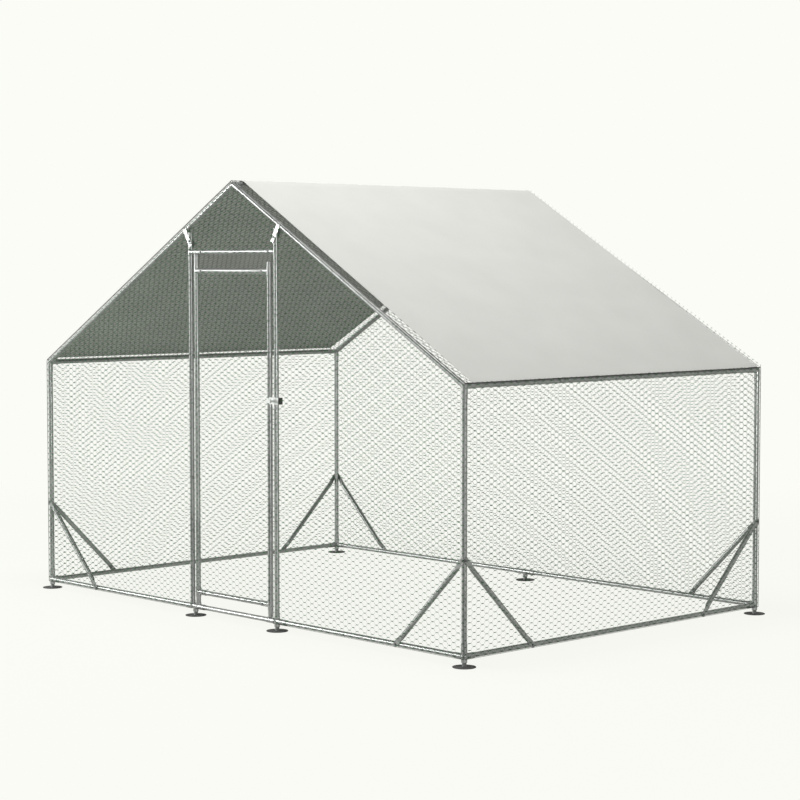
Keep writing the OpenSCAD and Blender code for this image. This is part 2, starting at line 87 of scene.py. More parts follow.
# Zinc: crystals in a metre, shares of crystal, haze and grain in its tone, changes in roughness, and pits
TUBE_CRYSTALS, STRAP_CRYSTALS, SCREW_CRYSTALS = 85.0, 160.0, 220.0
FOOT_CRYSTALS, WIRE_CRYSTALS = 120.0, 300.0
CRYSTAL_SHARE, HAZE_SHARE, GRAIN_SHARE = 0.45, 0.4, 0.15
CRYSTAL_GLOSS, HAZE_GLOSS = (-0.05, 0.07), (-0.05, 0.06)
CRYSTAL_HEIGHT, PIT_HEIGHT = 0.25, 0.6
PIT_DEPTH, WIRE_PIT_DEPTH, PIT_STRENGTH = 0.00006, 0.00003, 0.5
NOISE_RANGE = (0.3, 0.7)

# Where a foot's disc ends and its stem begins, and where the latch strap turns round into its end painted in
# shade
# Below this height the foot is its disc, painted dark grey as a painted reflection of dark surroundings
DISC_HEIGHT, STEM_FADE = 0.0027, 0.001
TURNED_SHADE_WIDTH, TURNED_SHADE_FADE = 0.0026, 0.0006

# Stage: the camera's sensor in millimetres, the floor, where its shadow fades out, and the lamps
SENSOR_WIDTH = 36.0
FLOOR_REACH, FLOOR_CELLS, FLOOR_DROP = 60.0, 8, 0.0005
SHADOW_FADE = (2.2, 6.0)
SKY_TINT = (1.0, 1.0, 0.985)
LAMP_WIDTHS = {"front": 2.3, "top": 2.0, "strip": 1.6}
LAMP_PLACES = {"front": (-7.3, -6.8, 2.7), "top": (0.5, -0.9, 6.0), "strip": (7.75, -3.1, 0.9)}
LAMP_AIM = Vector((0.4, 0, 1.0))


def middle(node):
    """The middle of a CAD node's box."""
    low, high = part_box(node)
    return (low + high) / 2


HALF_WIDTH = middle("eave_right").x
HALF_DEPTH = middle("post_back_right").y
EAVE_Z = middle("eave_right").z
RIDGE_Z = middle("ridge_pole").z
TUBE_RADIUS = (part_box("ridge_pole")[1].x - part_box("ridge_pole")[0].x) / 2
SLOPE = math.atan2(RIDGE_Z - EAVE_Z, HALF_WIDTH)


class RunNettingSizes(bpy.types.PropertyGroup):
    """Sizes of the hexagonal wire netting"""
    mesh_height: bpy.props.FloatProperty(
        name="Mesh height", description="Height of one hexagon between twists",
        default=0.028, min=0.01, max=0.08, unit="LENGTH", precision=4)
    twist_length: bpy.props.FloatProperty(
        name="Twist length", description="Length of the twisted pair at each joint",
        default=0.0152, min=0.004, max=0.04, unit="LENGTH", precision=4)
    diagonal_run: bpy.props.FloatProperty(
        name="Diagonal run", description="Sideways reach of a wire between two twists",
        default=0.0088, min=0.003, max=0.03, unit="LENGTH", precision=4)
    wire_diameter: bpy.props.FloatProperty(
        name="Wire", description="Diameter of one netting wire",
        default=0.0009, min=0.0004, max=0.003, unit="LENGTH", precision=5)
    twist_wire: bpy.props.FloatProperty(
        name="Wire in a twist", description="Diameter of a wire in its twist, with the zinc that fills it",
        default=0.0024, min=0.0004, max=0.004, unit="LENGTH", precision=5)
    strand_offset: bpy.props.FloatProperty(
        name="Strand offset", description="Distance of a wire from the middle of its twist",
        default=0.00098, min=0.0003, max=0.003, unit="LENGTH", precision=5)
    selvedge_diameter: bpy.props.FloatProperty(
        name="Selvedge", description="Diameter of the wire round each panel",
        default=0.0015, min=0.0008, max=0.005, unit="LENGTH", precision=4)
    roof_edge_wire: bpy.props.FloatProperty(
        name="Roof edge wire", description="Diameter of the wire along the front and right edges of the roof",
        default=0.0036, min=0.0008, max=0.006, unit="LENGTH", precision=4)
    edge_past_axis: bpy.props.FloatProperty(
        name="Edge past the tube",
        description="How far a panel reaches past the axis of the tube it is tied to",
        default=0.0098, min=0.0, max=0.011, unit="LENGTH", precision=4)
    back_stand: bpy.props.FloatProperty(
        name="Back stand", description="How far the back panel's cut wires stand over the rafter axes",
        default=0.025, min=0.0, max=0.04, unit="LENGTH", precision=3)
    edge_dip: bpy.props.FloatProperty(
        name="Edge dip", description="How far a panel's edge bends in to lie on its tube",
        default=0.0042, min=0.0, max=0.006, unit="LENGTH", precision=4)
    edge_bend: bpy.props.FloatProperty(
        name="Edge bend", description="Width of the strip over which an edge bends in",
        default=0.045, min=0.01, max=0.1, unit="LENGTH", precision=3)
    latch_clearance: bpy.props.FloatProperty(
        name="Clearance at the latch", description="Gap cut in the netting above and below the latch strap",
        default=0.009, min=0.004, max=0.03, unit="LENGTH", precision=4)


class RunSheetSizes(bpy.types.PropertyGroup):
    """Sizes of the roof sheet"""
    lift: bpy.props.FloatProperty(
        name="Lift", description="Height of the sheet over the rafter axes, square to the slope",
        default=0.0185, min=0.015, max=0.03, unit="LENGTH", precision=4)
    thickness: bpy.props.FloatProperty(
        name="Thickness", description="Thickness of the woven sheet",
        default=0.0009, min=0.0003, max=0.003, unit="LENGTH", precision=4)
    ripple: bpy.props.FloatProperty(
        name="Ripple", description="Height of the slack between the ridge and the eave",
        default=0.0035, min=0.0, max=0.008, unit="LENGTH", precision=4)
    front_bow: bpy.props.FloatProperty(
        name="Front bow", description="How far the front edge is drawn back at the ridge",
        default=0.016, min=0.0, max=0.04, unit="LENGTH", precision=3)
    edge_droop: bpy.props.FloatProperty(
        name="Edge droop", description="How far the right edge curls down over its eave",
        default=0.002, min=0.0, max=0.006, unit="LENGTH", precision=4)
    left_short: bpy.props.FloatProperty(
        name="Left short", description="How much shorter the sheet reaches on the left than on the right",
        default=0.008, min=0.0, max=0.02, unit="LENGTH", precision=4)
    ridge_past: bpy.props.FloatProperty(
        name="Ridge past", description="How far the back edge reaches past the frame at the ridge",
        default=0.012, min=0.0, max=0.03, unit="LENGTH", precision=3)
    left_draw: bpy.props.FloatProperty(
        name="Left draw", description="How far the left back corner is drawn in",
        default=0.043, min=0.0, max=0.06, unit="LENGTH", precision=3)
    right_draw: bpy.props.FloatProperty(
        name="Right draw", description="How far the right back corner is drawn in",
        default=0.010, min=0.0, max=0.06, unit="LENGTH", precision=3)
    hem_width: bpy.props.FloatProperty(
        name="Hem width", description="Width of the doubled edge",
        default=0.032, min=0.01, max=0.08, unit="LENGTH", precision=3)
    hem_rise: bpy.props.FloatProperty(
        name="Hem rise", description="How far the doubled edge stands over the sheet",
        default=0.0008, min=0.0002, max=0.003, unit="LENGTH", precision=4)


class RunFinishes(bpy.types.PropertyGroup):
    """Colours of the metal, wire and sheet"""
    zinc_light: bpy.props.FloatVectorProperty(
        name="Zinc, light", description="Light crystals of the galvanised tube",
        default=(0.40, 0.41, 0.40), min=0.0, max=1.0, subtype="COLOR")
    zinc_dark: bpy.props.FloatVectorProperty(
        name="Zinc, dark", description="Dark crystals of the galvanised tube",
        default=(0.21, 0.22, 0.215), min=0.0, max=1.0, subtype="COLOR")
    wire_light: bpy.props.FloatVectorProperty(
        name="Wire, light", description="Bright parts of the netting wire",
        default=(0.018, 0.215, 0.03), min=0.0, max=1.0, subtype="COLOR")
    wire_dark: bpy.props.FloatVectorProperty(
        name="Wire, dark", description="Dull parts of the netting wire",
        default=(0.004, 0.088, 0.009), min=0.0, max=1.0, subtype="COLOR")
    sheet_top: bpy.props.FloatVectorProperty(
        name="Sheet, top", description="Outside of the roof sheet",
        default=(0.72, 0.725, 0.69), min=0.0, max=1.0, subtype="COLOR")
    # The underside colour is lighter and greener than the top: painted light on the shaded underside of the
    # same sheet
    sheet_under_painted_light: bpy.props.FloatVectorProperty(
        name="Sheet, under", description="Underside of the roof sheet",
        default=(0.772, 0.80, 0.756), min=0.0, max=1.0, subtype="COLOR")
    # The foot discs' dark grey is a painted reflection of the dark surroundings a polished disc would mirror
    foot_painted_reflection: bpy.props.FloatVectorProperty(
        name="Foot grey", description="Dull grey of the foot discs",
        default=(0.10, 0.102, 0.10), min=0.0, max=1.0, subtype="COLOR")


class RunStageSizes(bpy.types.PropertyGroup):
    """Camera, light and backdrop"""
    camera_place: bpy.props.FloatVectorProperty(
        name="Camera place", description="Where the camera stands",
        default=(7.3667, -6.8999, 1.6056), subtype="TRANSLATION", unit="LENGTH")
    camera_turn: bpy.props.FloatVectorProperty(
        name="Camera turn", description="Which way the camera looks",
        default=(math.radians(86.362), 0.0, math.radians(46.594)), subtype="EULER")
    focal_length: bpy.props.FloatProperty(
        name="Focal length", description="Lens, in millimetres on a 36 mm sensor",
        default=95.211, min=10.0, max=300.0)
    backdrop: bpy.props.FloatVectorProperty(
        name="Backdrop", description="Colour of the floor and the background",
        default=(0.965, 0.973, 0.921), min=0.0, max=1.0, subtype="COLOR")
    sky_strength: bpy.props.FloatProperty(
        name="Sky", description="Strength of the even light from all round",
        default=0.40, min=0.0, max=3.0)
    key_power: bpy.props.FloatProperty(
        name="Front lamp", description="Power of the large soft lamp at the front left",
        default=640.0, min=0.0, max=5000.0, unit="POWER")
    top_power: bpy.props.FloatProperty(
        name="Top lamp", description="Power of the soft lamp over the ridge",
        default=152.0, min=0.0, max=5000.0, unit="POWER")
    strip_power: bpy.props.FloatProperty(
        name="Strip lamp",
        description="Power of the lamp beside the camera that only shows as a streak on the posts",
        default=280.0, min=0.0, max=1000.0, unit="POWER")
    floor_bounce: bpy.props.FloatProperty(
        name="Floor bounce", description="How much light the floor throws back up",
        default=0.58, min=0.0, max=1.0, subtype="FACTOR")
    shadow_share: bpy.props.FloatProperty(
        name="Shadow", description="How much of the run's shadow shows on the floor",
        default=0.08, min=0.0, max=1.0, subtype="FACTOR")


def add_node(tree, kind, **sockets):
    """A new node with its unlinked sockets set by name."""
    node = tree.nodes.new(kind)
    for name, value in sockets.items():
        node.inputs[name.replace("_", " ")].default_value = value
    return node


def mix_colours(tree, factor, low, high):
    """A colour mix; low and high are colours or output sockets."""
    node = tree.nodes.new("ShaderNodeMix")
    node.data_type = "RGBA"
    ins = {s.identifier: s for s in node.inputs}
    for key, value in (("Factor_Float", factor), ("A_Color", low), ("B_Color", high)):
        if isinstance(value, bpy.types.NodeSocket):
            tree.links.new(value, ins[key])
        elif key == "Factor_Float":
            ins[key].default_value = value
        else:
            ins[key].default_value = (*value, 1.0)
    return next(s for s in node.outputs if s.identifier == "Result_Color")


def spread(tree, value, low, high, out_low=0.0, out_high=1.0):
    """Maps a value from one range to another."""
    node = tree.nodes.new("ShaderNodeMapRange")
    tree.links.new(value, node.inputs["Value"])
    for name, number in (("From Min", low), ("From Max", high), ("To Min", out_low), ("To Max", out_high)):
        node.inputs[name].default_value = number
    return node.outputs["Result"]


def maths(tree, kind, first, second):
    """A math node on two sockets or numbers."""
    node = tree.nodes.new("ShaderNodeMath")
    node.operation = kind
    for place, value in enumerate((first, second)):
        if isinstance(value, bpy.types.NodeSocket):
            tree.links.new(value, node.inputs[place])
        else:
            node.inputs[place].default_value = value
    return node.outputs[0]


def seen_directly(tree):
    """A mask of the rays from the camera, off metal and through glass."""
    path = tree.nodes.new("ShaderNodeLightPath")
    seen = maths(tree, "MAXIMUM", path.outputs["Is Camera Ray"], path.outputs["Is Glossy Ray"])
    return maths(tree, "MAXIMUM", seen, path.outputs["Is Transmission Ray"])


def toned(colour, factor):
    """A colour made lighter or darker."""
    return [min(1.0, tone * factor) for tone in colour]


def effect_group(name, inputs, outputs):
    """An empty shader node group with named sockets; returns it with its two ends."""
    tree = bpy.data.node_groups.new(name, "ShaderNodeTree")
    for label, kind in inputs:
        tree.interface.new_socket(label, in_out="INPUT", socket_type=kind)
    for label, kind in outputs:
        tree.interface.new_socket(label, in_out="OUTPUT", socket_type=kind)
    return tree, tree.nodes.new("NodeGroupInput"), tree.nodes.new("NodeGroupOutput")


def zinc_crystals():
    """Hot-dip zinc: crystal patches, a slow cloudiness and fine pits."""
    name = "Zinc crystals"
    if name in bpy.data.node_groups:
        return bpy.data.node_groups[name]
    tree, start, end = effect_group(
        name,
        [("Light", "NodeSocketColor"), ("Dark", "NodeSocketColor"),
         ("Crystal Scale", "NodeSocketFloat"), ("Dullness", "NodeSocketFloat")],
        [("Colour", "NodeSocketColor"), ("Roughness", "NodeSocketFloat"), ("Height", "NodeSocketFloat")])
    place = tree.nodes.new("ShaderNodeTexCoord")
    crystals = tree.nodes.new("ShaderNodeTexVoronoi")
    tree.links.new(place.outputs["Object"], crystals.inputs["Vector"])
    tree.links.new(start.outputs["Crystal Scale"], crystals.inputs["Scale"])
    grey = tree.nodes.new("ShaderNodeSeparateColor")
    tree.links.new(crystals.outputs["Color"], grey.inputs["Color"])
    cloud = add_node(tree, "ShaderNodeTexNoise", Scale=6.0, Detail=4.0)
    tree.links.new(place.outputs["Object"], cloud.inputs["Vector"])
    pits = add_node(tree, "ShaderNodeTexNoise", Scale=420.0, Detail=2.0)
    tree.links.new(place.outputs["Object"], pits.inputs["Vector"])
    patch = maths(tree, "MULTIPLY", grey.outputs["Red"], CRYSTAL_SHARE)
    haze = spread(tree, cloud.outputs["Fac"], *NOISE_RANGE, 0.0, HAZE_SHARE)
    grain = spread(tree, pits.outputs["Fac"], *NOISE_RANGE, 0.0, GRAIN_SHARE)
    blend = maths(tree, "ADD", maths(tree, "ADD", patch, haze), grain)
    colour = mix_colours(tree, blend, start.outputs["Dark"], start.outputs["Light"])
    tree.links.new(colour, end.inputs["Colour"])
    gloss = spread(tree, grey.outputs["Green"], 0.0, 1.0, *CRYSTAL_GLOSS)
    gloss = maths(tree, "ADD", gloss, spread(tree, cloud.outputs["Fac"], *NOISE_RANGE, *HAZE_GLOSS))
    gloss = maths(tree, "ADD", gloss, start.outputs["Dullness"])
    tree.links.new(gloss, end.inputs["Roughness"])
    height = maths(tree, "ADD", maths(tree, "MULTIPLY", pits.outputs["Fac"], PIT_HEIGHT),
                   maths(tree, "MULTIPLY", grey.outputs["Blue"], CRYSTAL_HEIGHT))
    tree.links.new(height, end.inputs["Height"])
    return tree


def woven_tapes():
    """Plain weave of flat tapes on the piece's UV map, in metres."""
    name = "Woven tapes"
    if name in bpy.data.node_groups:
        return bpy.data.node_groups[name]
    tree, start, end = effect_group(
        name,
        [("Tape Width", "NodeSocketFloat")],
        [("Crown", "NodeSocketFloat"), ("Over", "NodeSocketFloat"), ("Slack", "NodeSocketFloat")])
    place = tree.nodes.new("ShaderNodeTexCoord")
    parts = tree.nodes.new("ShaderNodeSeparateXYZ")
    tree.links.new(place.outputs["UV"], parts.inputs["Vector"])
    across = maths(tree, "DIVIDE", parts.outputs["X"], start.outputs["Tape Width"])
    along = maths(tree, "DIVIDE", parts.outputs["Y"], start.outputs["Tape Width"])
    odd = maths(tree, "MODULO", maths(
        tree, "ADD", maths(tree, "FLOOR", across, 0.0), maths(tree, "FLOOR", along, 0.0)), 2.0)
    odd = maths(tree, "ABSOLUTE", odd, 0.0)
    warp = maths(tree, "SINE", maths(tree, "MULTIPLY", maths(tree, "FRACT", across, 0.0), math.pi), 0.0)
    weft = maths(tree, "SINE", maths(tree, "MULTIPLY", maths(tree, "FRACT", along, 0.0), math.pi), 0.0)
    crown = tree.nodes.new("ShaderNodeMix")
    tree.links.new(odd, crown.inputs[0])
    tree.links.new(warp, crown.inputs[2])
    tree.links.new(weft, crown.inputs[3])
    tree.links.new(crown.outputs[0], end.inputs["Crown"])
    tree.links.new(odd, end.inputs["Over"])
    slack = add_node(tree, "ShaderNodeTexNoise", Scale=3.5, Detail=5.0)
    tree.links.new(place.outputs["UV"], slack.inputs["Vector"])
    tree.links.new(slack.outputs["Fac"], end.inputs["Slack"])
    return tree


def blank_material(name):
    """A material with an empty Principled shader; returns it, its tree and the shader."""
    material = bpy.data.materials.new(name)
    material.use_nodes = True
    return material, material.node_tree, material.node_tree.nodes["Principled BSDF"]


def bump_from(tree, shader, height, strength, distance):
    """Drives a shader's normal from a height."""
    bump = add_node(tree, "ShaderNodeBump", Strength=strength, Distance=distance)
    tree.links.new(height, bump.inputs["Height"])
    tree.links.new(bump.outputs["Normal"], shader.inputs["Normal"])


def zinc_tones(tree, light, dark, scale):
    """The zinc crystals in a material, with their tones and size."""
    zinc = tree.nodes.new("ShaderNodeGroup")
    zinc.node_tree = zinc_crystals()
    zinc.inputs["Light"].default_value = (*light, 1.0)
    zinc.inputs["Dark"].default_value = (*dark, 1.0)
    zinc.inputs["Crystal Scale"].default_value = scale
    return zinc


def zinc_material(name, light, dark, scale, dullness, metal, specular=0.5, pit_depth=PIT_DEPTH):
    """A coated steel with its own tones and crystal size."""
    material, tree, shader = blank_material(name)
    zinc = zinc_tones(tree, light, dark, scale)
    zinc.inputs["Dullness"].default_value = dullness
    tree.links.new(zinc.outputs["Colour"], shader.inputs["Base Color"])
    tree.links.new(zinc.outputs["Roughness"], shader.inputs["Roughness"])
    shader.inputs["Metallic"].default_value = metal
    shader.inputs["Specular IOR Level"].default_value = specular
    bump_from(tree, shader, zinc.outputs["Height"], PIT_STRENGTH, pit_depth)
    return material


def second_zinc(material, light, dark, scale, axis, low, high):
    """Gives a zinc material another tone past a place along an axis, as on a foot's stem or on the latch
    strap's end painted in shade.
    """
    tree = material.node_tree
    base = tree.nodes["Principled BSDF"].inputs["Base Color"]
    place = tree.nodes.new("ShaderNodeTexCoord")
    parts = tree.nodes.new("ShaderNodeSeparateXYZ")
    tree.links.new(place.outputs["Object"], parts.inputs["Vector"])
    zinc = zinc_tones(tree, light, dark, scale)
    past = spread(tree, parts.outputs[axis], low, high)
    tree.links.new(mix_colours(tree, past, base.links[0].from_socket, zinc.outputs["Colour"]), base)


def sheet_material(name, tint, shade):
    """A coated woven sheet: tapes, slow tone changes and a soft sheen."""
    material, tree, shader = blank_material(name)
    weave = tree.nodes.new("ShaderNodeGroup")
    weave.node_tree = woven_tapes()
    weave.inputs["Tape Width"].default_value = TAPE_WIDTH
    tone = spread(tree, weave.outputs["Slack"], *NOISE_RANGE, 0.0, CLOUD_SHADE)
    tone = maths(tree, "ADD", tone, maths(tree, "MULTIPLY", weave.outputs["Over"], UNDER_TAPE_SHADE))
    # Painted shade in the gaps between tapes
    gap = spread(tree, weave.outputs["Crown"], *GAP_RANGE, GAP_SHADE, 0.0)
    tone = maths(tree, "ADD", tone, gap)
    colour = mix_colours(tree, tone, tint, shade)
    tree.links.new(colour, shader.inputs["Base Color"])
    dull = spread(tree, weave.outputs["Slack"], *NOISE_RANGE, *SHEET_ROUGHNESS)
    tree.links.new(dull, shader.inputs["Roughness"])
    shader.inputs["Specular IOR Level"].default_value = SHEET_SPECULAR
    bump_from(tree, shader, weave.outputs["Crown"], TAPE_STRENGTH, TAPE_HEIGHT)
    return material


def new_piece(name, bm, materials):
    """Turns a bmesh into a named, smooth-shaded object at the origin."""
    mesh = bpy.data.meshes.new(name)
    bm.to_mesh(mesh)
    bm.free()
    piece = bpy.data.objects.new(name, mesh)
    bpy.context.scene.collection.objects.link(piece)
    for material in materials:
        mesh.materials.append(material)
    for face in mesh.polygons:
        face.use_smooth = True
    return piece


def slot_of(node):
    """The material slot that the record gives a node."""
    for row in frame["record"]["subparts"]:
        if row["node"] == node:
            return row["material_slot"]
    raise RuntimeError("the record has no row for " + node)


class RUN_OT_finish_steel(bpy.types.Operator):
    """Gives each CAD node of the frame, door and latch its metal finish"""
    bl_idname = "run.finish_steel"
    bl_label = "Finish the steel"

    def execute(self, context):
        tones = context.scene.run_finishes
        light, dark, grey = tones.zinc_light, tones.zinc_dark, tones.foot_painted_reflection
        # pale is a near-white tone of the zinc, partly the latch's bright zinc and partly painted light on
        # its front
        bright, pale = toned(light, 1.35), toned(light, 2.4)
        finishes = {
            "galvanised_steel": zinc_material(
                "galvanised tube", light, dark, TUBE_CRYSTALS, dullness=0.31, metal=0.45),
            "bright_zinc": zinc_material(
                "bright zinc strap", bright, light, STRAP_CRYSTALS, dullness=0.3, metal=0.35),
            "dark_zinc": zinc_material(
                "dark zinc screw", dark, toned(dark, 0.35), SCREW_CRYSTALS, dullness=0.42, metal=0.5),
            # The foot discs take a painted reflection: dull dark grey with almost no gloss; their stems get
            # zinc tones above the disc
            "foot_steel": zinc_material(
                "foot disc steel", toned(grey, 1.6), grey, FOOT_CRYSTALS,
                dullness=0.7, metal=0.0, specular=0.05),
        }
        # The latch strap and pin get their own near-white copy of the bright zinc: partly its real bright
        # tone, partly painted light for the light on their front
        own = {
            node: zinc_material(name, pale, toned(pale, 0.8), STRAP_CRYSTALS, dullness=0.4, metal=0.0)
            for node, name in (("latch_strap", "bright latch strap"), ("latch_pin", "bright latch pin"))
        }
        disc_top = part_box("feet")[0].z + DISC_HEIGHT
        second_zinc(finishes["foot_steel"], toned(light, 1.2), toned(dark, 1.4), TUBE_CRYSTALS,
                    "Z", disc_top, disc_top + STEM_FADE)
        # The turned end of the latch strap is painted in shade, near black, for its side that faces away from
        # the lamps
        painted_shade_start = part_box("latch_strap")[1].x - TURNED_SHADE_WIDTH
        second_zinc(own["latch_strap"], toned(dark, 0.3), toned(dark, 0.15), STRAP_CRYSTALS,
                    "X", painted_shade_start, painted_shade_start + TURNED_SHADE_FADE)
        for name, piece in frame["nodes"].items():
            slot = slot_of(name)
            if slot in finishes:
                piece.data.materials.clear()
                piece.data.materials.append(own.get(name, finishes[slot]))
        return {"FINISHED"}


def strand_points(sizes, turned):
    """One wire over one repeat: a twist, a diagonal up, a twist, a diagonal down; points and radii."""
    twist, run = sizes.twist_length, sizes.diagonal_run
    half = sizes.mesh_height / 2
    side = sizes.strand_offset
    thin, full = sizes.wire_diameter / 2, sizes.twist_wire / 2
    if not turned:
        thin = (thin + full) / 2
    points = []
    steps = TWIST_STEPS if turned else 1
    for start, level, way in ((-twist / 2, 0.0, 1), (twist / 2 + run, half, -1)):
        for step in range(steps + 1):
            angle = QUARTER_TURN * way + (FULL_TURN * step / steps if turned else 0.0)
            rise, out = side * math.sin(angle), side * math.cos(angle)
            spot = Vector((start + twist * step / steps, level + rise, out))
            points.append((spot, full if 0 < step < steps else thin))
    points.append((points[0][0] + Vector((2 * (twist + run), 0, 0)), thin))
    return points


def draw_strand(bm, points):
    """A three-sided wire along the points, by extruding its first ring."""
    facing = Matrix.Rotation(QUARTER_TURN, 4, "Y")
    start, radius = points[0]
    made = bmesh.ops.create_circle(
        bm, segments=WIRE_SIDES, radius=radius, matrix=Matrix.Translation(start) @ facing)
    ring = list({edge for vert in made["verts"] for edge in vert.link_edges})
    for (here, was), (there, now) in zip(points, points[1:]):
        grown = bmesh.ops.extrude_edge_only(bm, edges=ring)["geom"]
        corners = [item for item in grown if isinstance(item, bmesh.types.BMVert)]
        bmesh.ops.translate(bm, verts=corners, vec=there - here)
        bmesh.ops.scale(bm, verts=corners, vec=(1, now / was, now / was), space=Matrix.Translation(-there))
        own = set(corners)
        ring = [item for item in grown if isinstance(item, bmesh.types.BMEdge)
                and item.verts[0] in own and item.verts[1] in own]


def wire_field(sizes, low, high, turned):
    """Netting that covers a rectangle, from one repeat of two mirrored wires."""
    bm = bmesh.new()
    draw_strand(bm, strand_points(sizes, turned))
    twin = bmesh.ops.duplicate(bm, geom=bm.verts[:] + bm.edges[:] + bm.faces[:])["geom"]
    corners = [item for item in twin if isinstance(item, bmesh.types.BMVert)]
    bmesh.ops.rotate(bm, verts=corners, cent=(0, 0, 0), matrix=Matrix.Rotation(math.pi, 3, "X"))
    bmesh.ops.recalc_face_normals(bm, faces=bm.faces)
    repeat = 2 * (sizes.twist_length + sizes.diagonal_run)
    rows = math.ceil((high.y - low.y) / sizes.mesh_height) + 2
    columns = math.ceil((high.x - low.x) / repeat) + 2
    corner = (low.x - repeat / 2, low.y - sizes.mesh_height * FIELD_START, 0)
    bmesh.ops.translate(bm, verts=bm.verts, vec=corner)
    unit = new_piece("netting_repeat", bm, [])
    for count, step in ((columns, (repeat, 0, 0)), (rows, (0, sizes.mesh_height, 0))):
        array = unit.modifiers.new("repeat", "ARRAY")
        array.use_relative_offset = False
        array.use_constant_offset = True
        array.constant_offset_displace = step
        array.count = count
        array.use_merge_vertices = step[0] > 0
        array.merge_threshold = WELD_DISTANCE
    shaped = unit.evaluated_get(bpy.context.evaluated_depsgraph_get())
    field = bmesh.new()
    field.from_mesh(shaped.to_mesh())
    shaped.to_mesh_clear()
    old = unit.data
    bpy.data.objects.remove(unit)
    bpy.data.meshes.remove(old)
    return field


def cut_to_outline(bm, outline):
    """Keeps what lies inside a convex outline, given anticlockwise, and closes the cut wires."""
    for here, there in zip(outline, outline[1:] + outline[:1]):
        along = (there - here).normalized()
        made = bmesh.ops.bisect_plane(
            bm, geom=bm.verts[:] + bm.edges[:] + bm.faces[:], dist=CUT_TOLERANCE,
            plane_co=here, plane_no=(along.y, -along.x, 0), clear_outer=True)
        rims = [item for item in made["geom_cut"] if isinstance(item, bmesh.types.BMEdge)]
        bmesh.ops.edgeloop_fill(bm, edges=[edge for edge in rims if edge.is_boundary])


def add_rod(bm, here, there, radius):
    """A closed straight edge wire between two points, in the piece's second finish."""
    along = there - here
    turn = along.to_track_quat("Z", "Y").to_matrix().to_4x4()
    made = bmesh.ops.create_cone(
        bm, cap_ends=True, segments=EDGE_WIRE_SIDES, radius1=radius, radius2=radius, depth=along.length,
        matrix=Matrix.Translation((here + there) / 2) @ turn)
    for face in {face for vert in made["verts"] for face in vert.link_faces}:
        face.material_index = 1


def clear_notch(bm, notch):
    """Takes out the wires that reach into a notch and closes the ends that are left."""
    low, high = notch
    inside = [v for v in bm.verts if low.x < v.co.x < high.x and low.y < v.co.y < high.y]
    bmesh.ops.delete(bm, geom=inside, context="VERTS")
    bmesh.ops.edgeloop_fill(bm, edges=[edge for edge in bm.edges if edge.is_boundary])


def netting_panel(sizes, outline, turned, edge_wires, notch=None):
    """One flat panel of netting with a wire of a given diameter along each side that has one."""
    low = Vector((min(p.x for p in outline), min(p.y for p in outline)))
    high = Vector((max(p.x for p in outline), max(p.y for p in outline)))
    bm = wire_field(sizes, low, high, turned)
    cut_to_outline(bm, outline)
    if notch:
        clear_notch(bm, notch)
    for here, there, wire in zip(outline, outline[1:] + outline[:1], edge_wires):
        if not wire:
            continue
        ends = [here, there]
        if notch and notch[0].x < here.x < notch[1].x and here.x == there.x:
            ends = [here, Vector((here.x, notch[1].y, 0)), Vector((here.x, notch[0].y, 0)), there]
        for start, stop in zip(ends[::2], ends[1::2]):
            add_rod(bm, start, stop, wire / 2)
    return bm


def settle_edges(mesh, sizes, outline, outward):
    """Bends the border of a panel in, so that it lies on the tubes."""
    spots = np.empty(len(mesh.vertices) * 3)
    mesh.vertices.foreach_get("co", spots)
    spots = spots.reshape(-1, 3)
    inside = np.full(len(spots), np.inf)
    for here, there in zip(outline, outline[1:] + outline[:1]):
        along = (there - here).normalized()
        gap = (spots[:, 1] - here.y) * along.x - (spots[:, 0] - here.x) * along.y
        inside = np.minimum(inside, gap)
    share = np.clip(inside / sizes.edge_bend, 0.0, 1.0)
    spots[:, 2] -= outward * sizes.edge_dip * (1.0 - share * share * (3.0 - 2.0 * share))
    mesh.vertices.foreach_set("co", spots.ravel())


def plane_at(across, up, origin):
    """The placing matrix of a panel whose first axis is across and second is up."""
    across, up = Vector(across).normalized(), Vector(up).normalized()
    out = across.cross(up)
    grid = Matrix((across, up, out)).transposed().to_4x4()
    return Matrix.Translation(origin) @ grid


def rafter_z(x):
    """Height of the rafter axes at a distance from the middle."""
    return RIDGE_Z - abs(x) * math.tan(SLOPE)


def gable_outline(left, right, foot, stand):
    """Outline of an end panel from its foot to a little over the rafter axes."""
    top = stand / math.cos(SLOPE)
    points = [Vector((left, foot, 0)), Vector((right, foot, 0)), Vector((right, rafter_z(right) + top, 0))]
    if left < 0 < right:
        points.append(Vector((0, rafter_z(0) + top, 0)))
    points.append(Vector((left, rafter_z(left) + top, 0)))
    return points


def box_outline(left, right, foot, head):
    """Outline of a plain panel."""
    corners = ((left, foot), (right, foot), (right, head), (left, head))
    return [Vector((x, y, 0)) for x, y in corners]


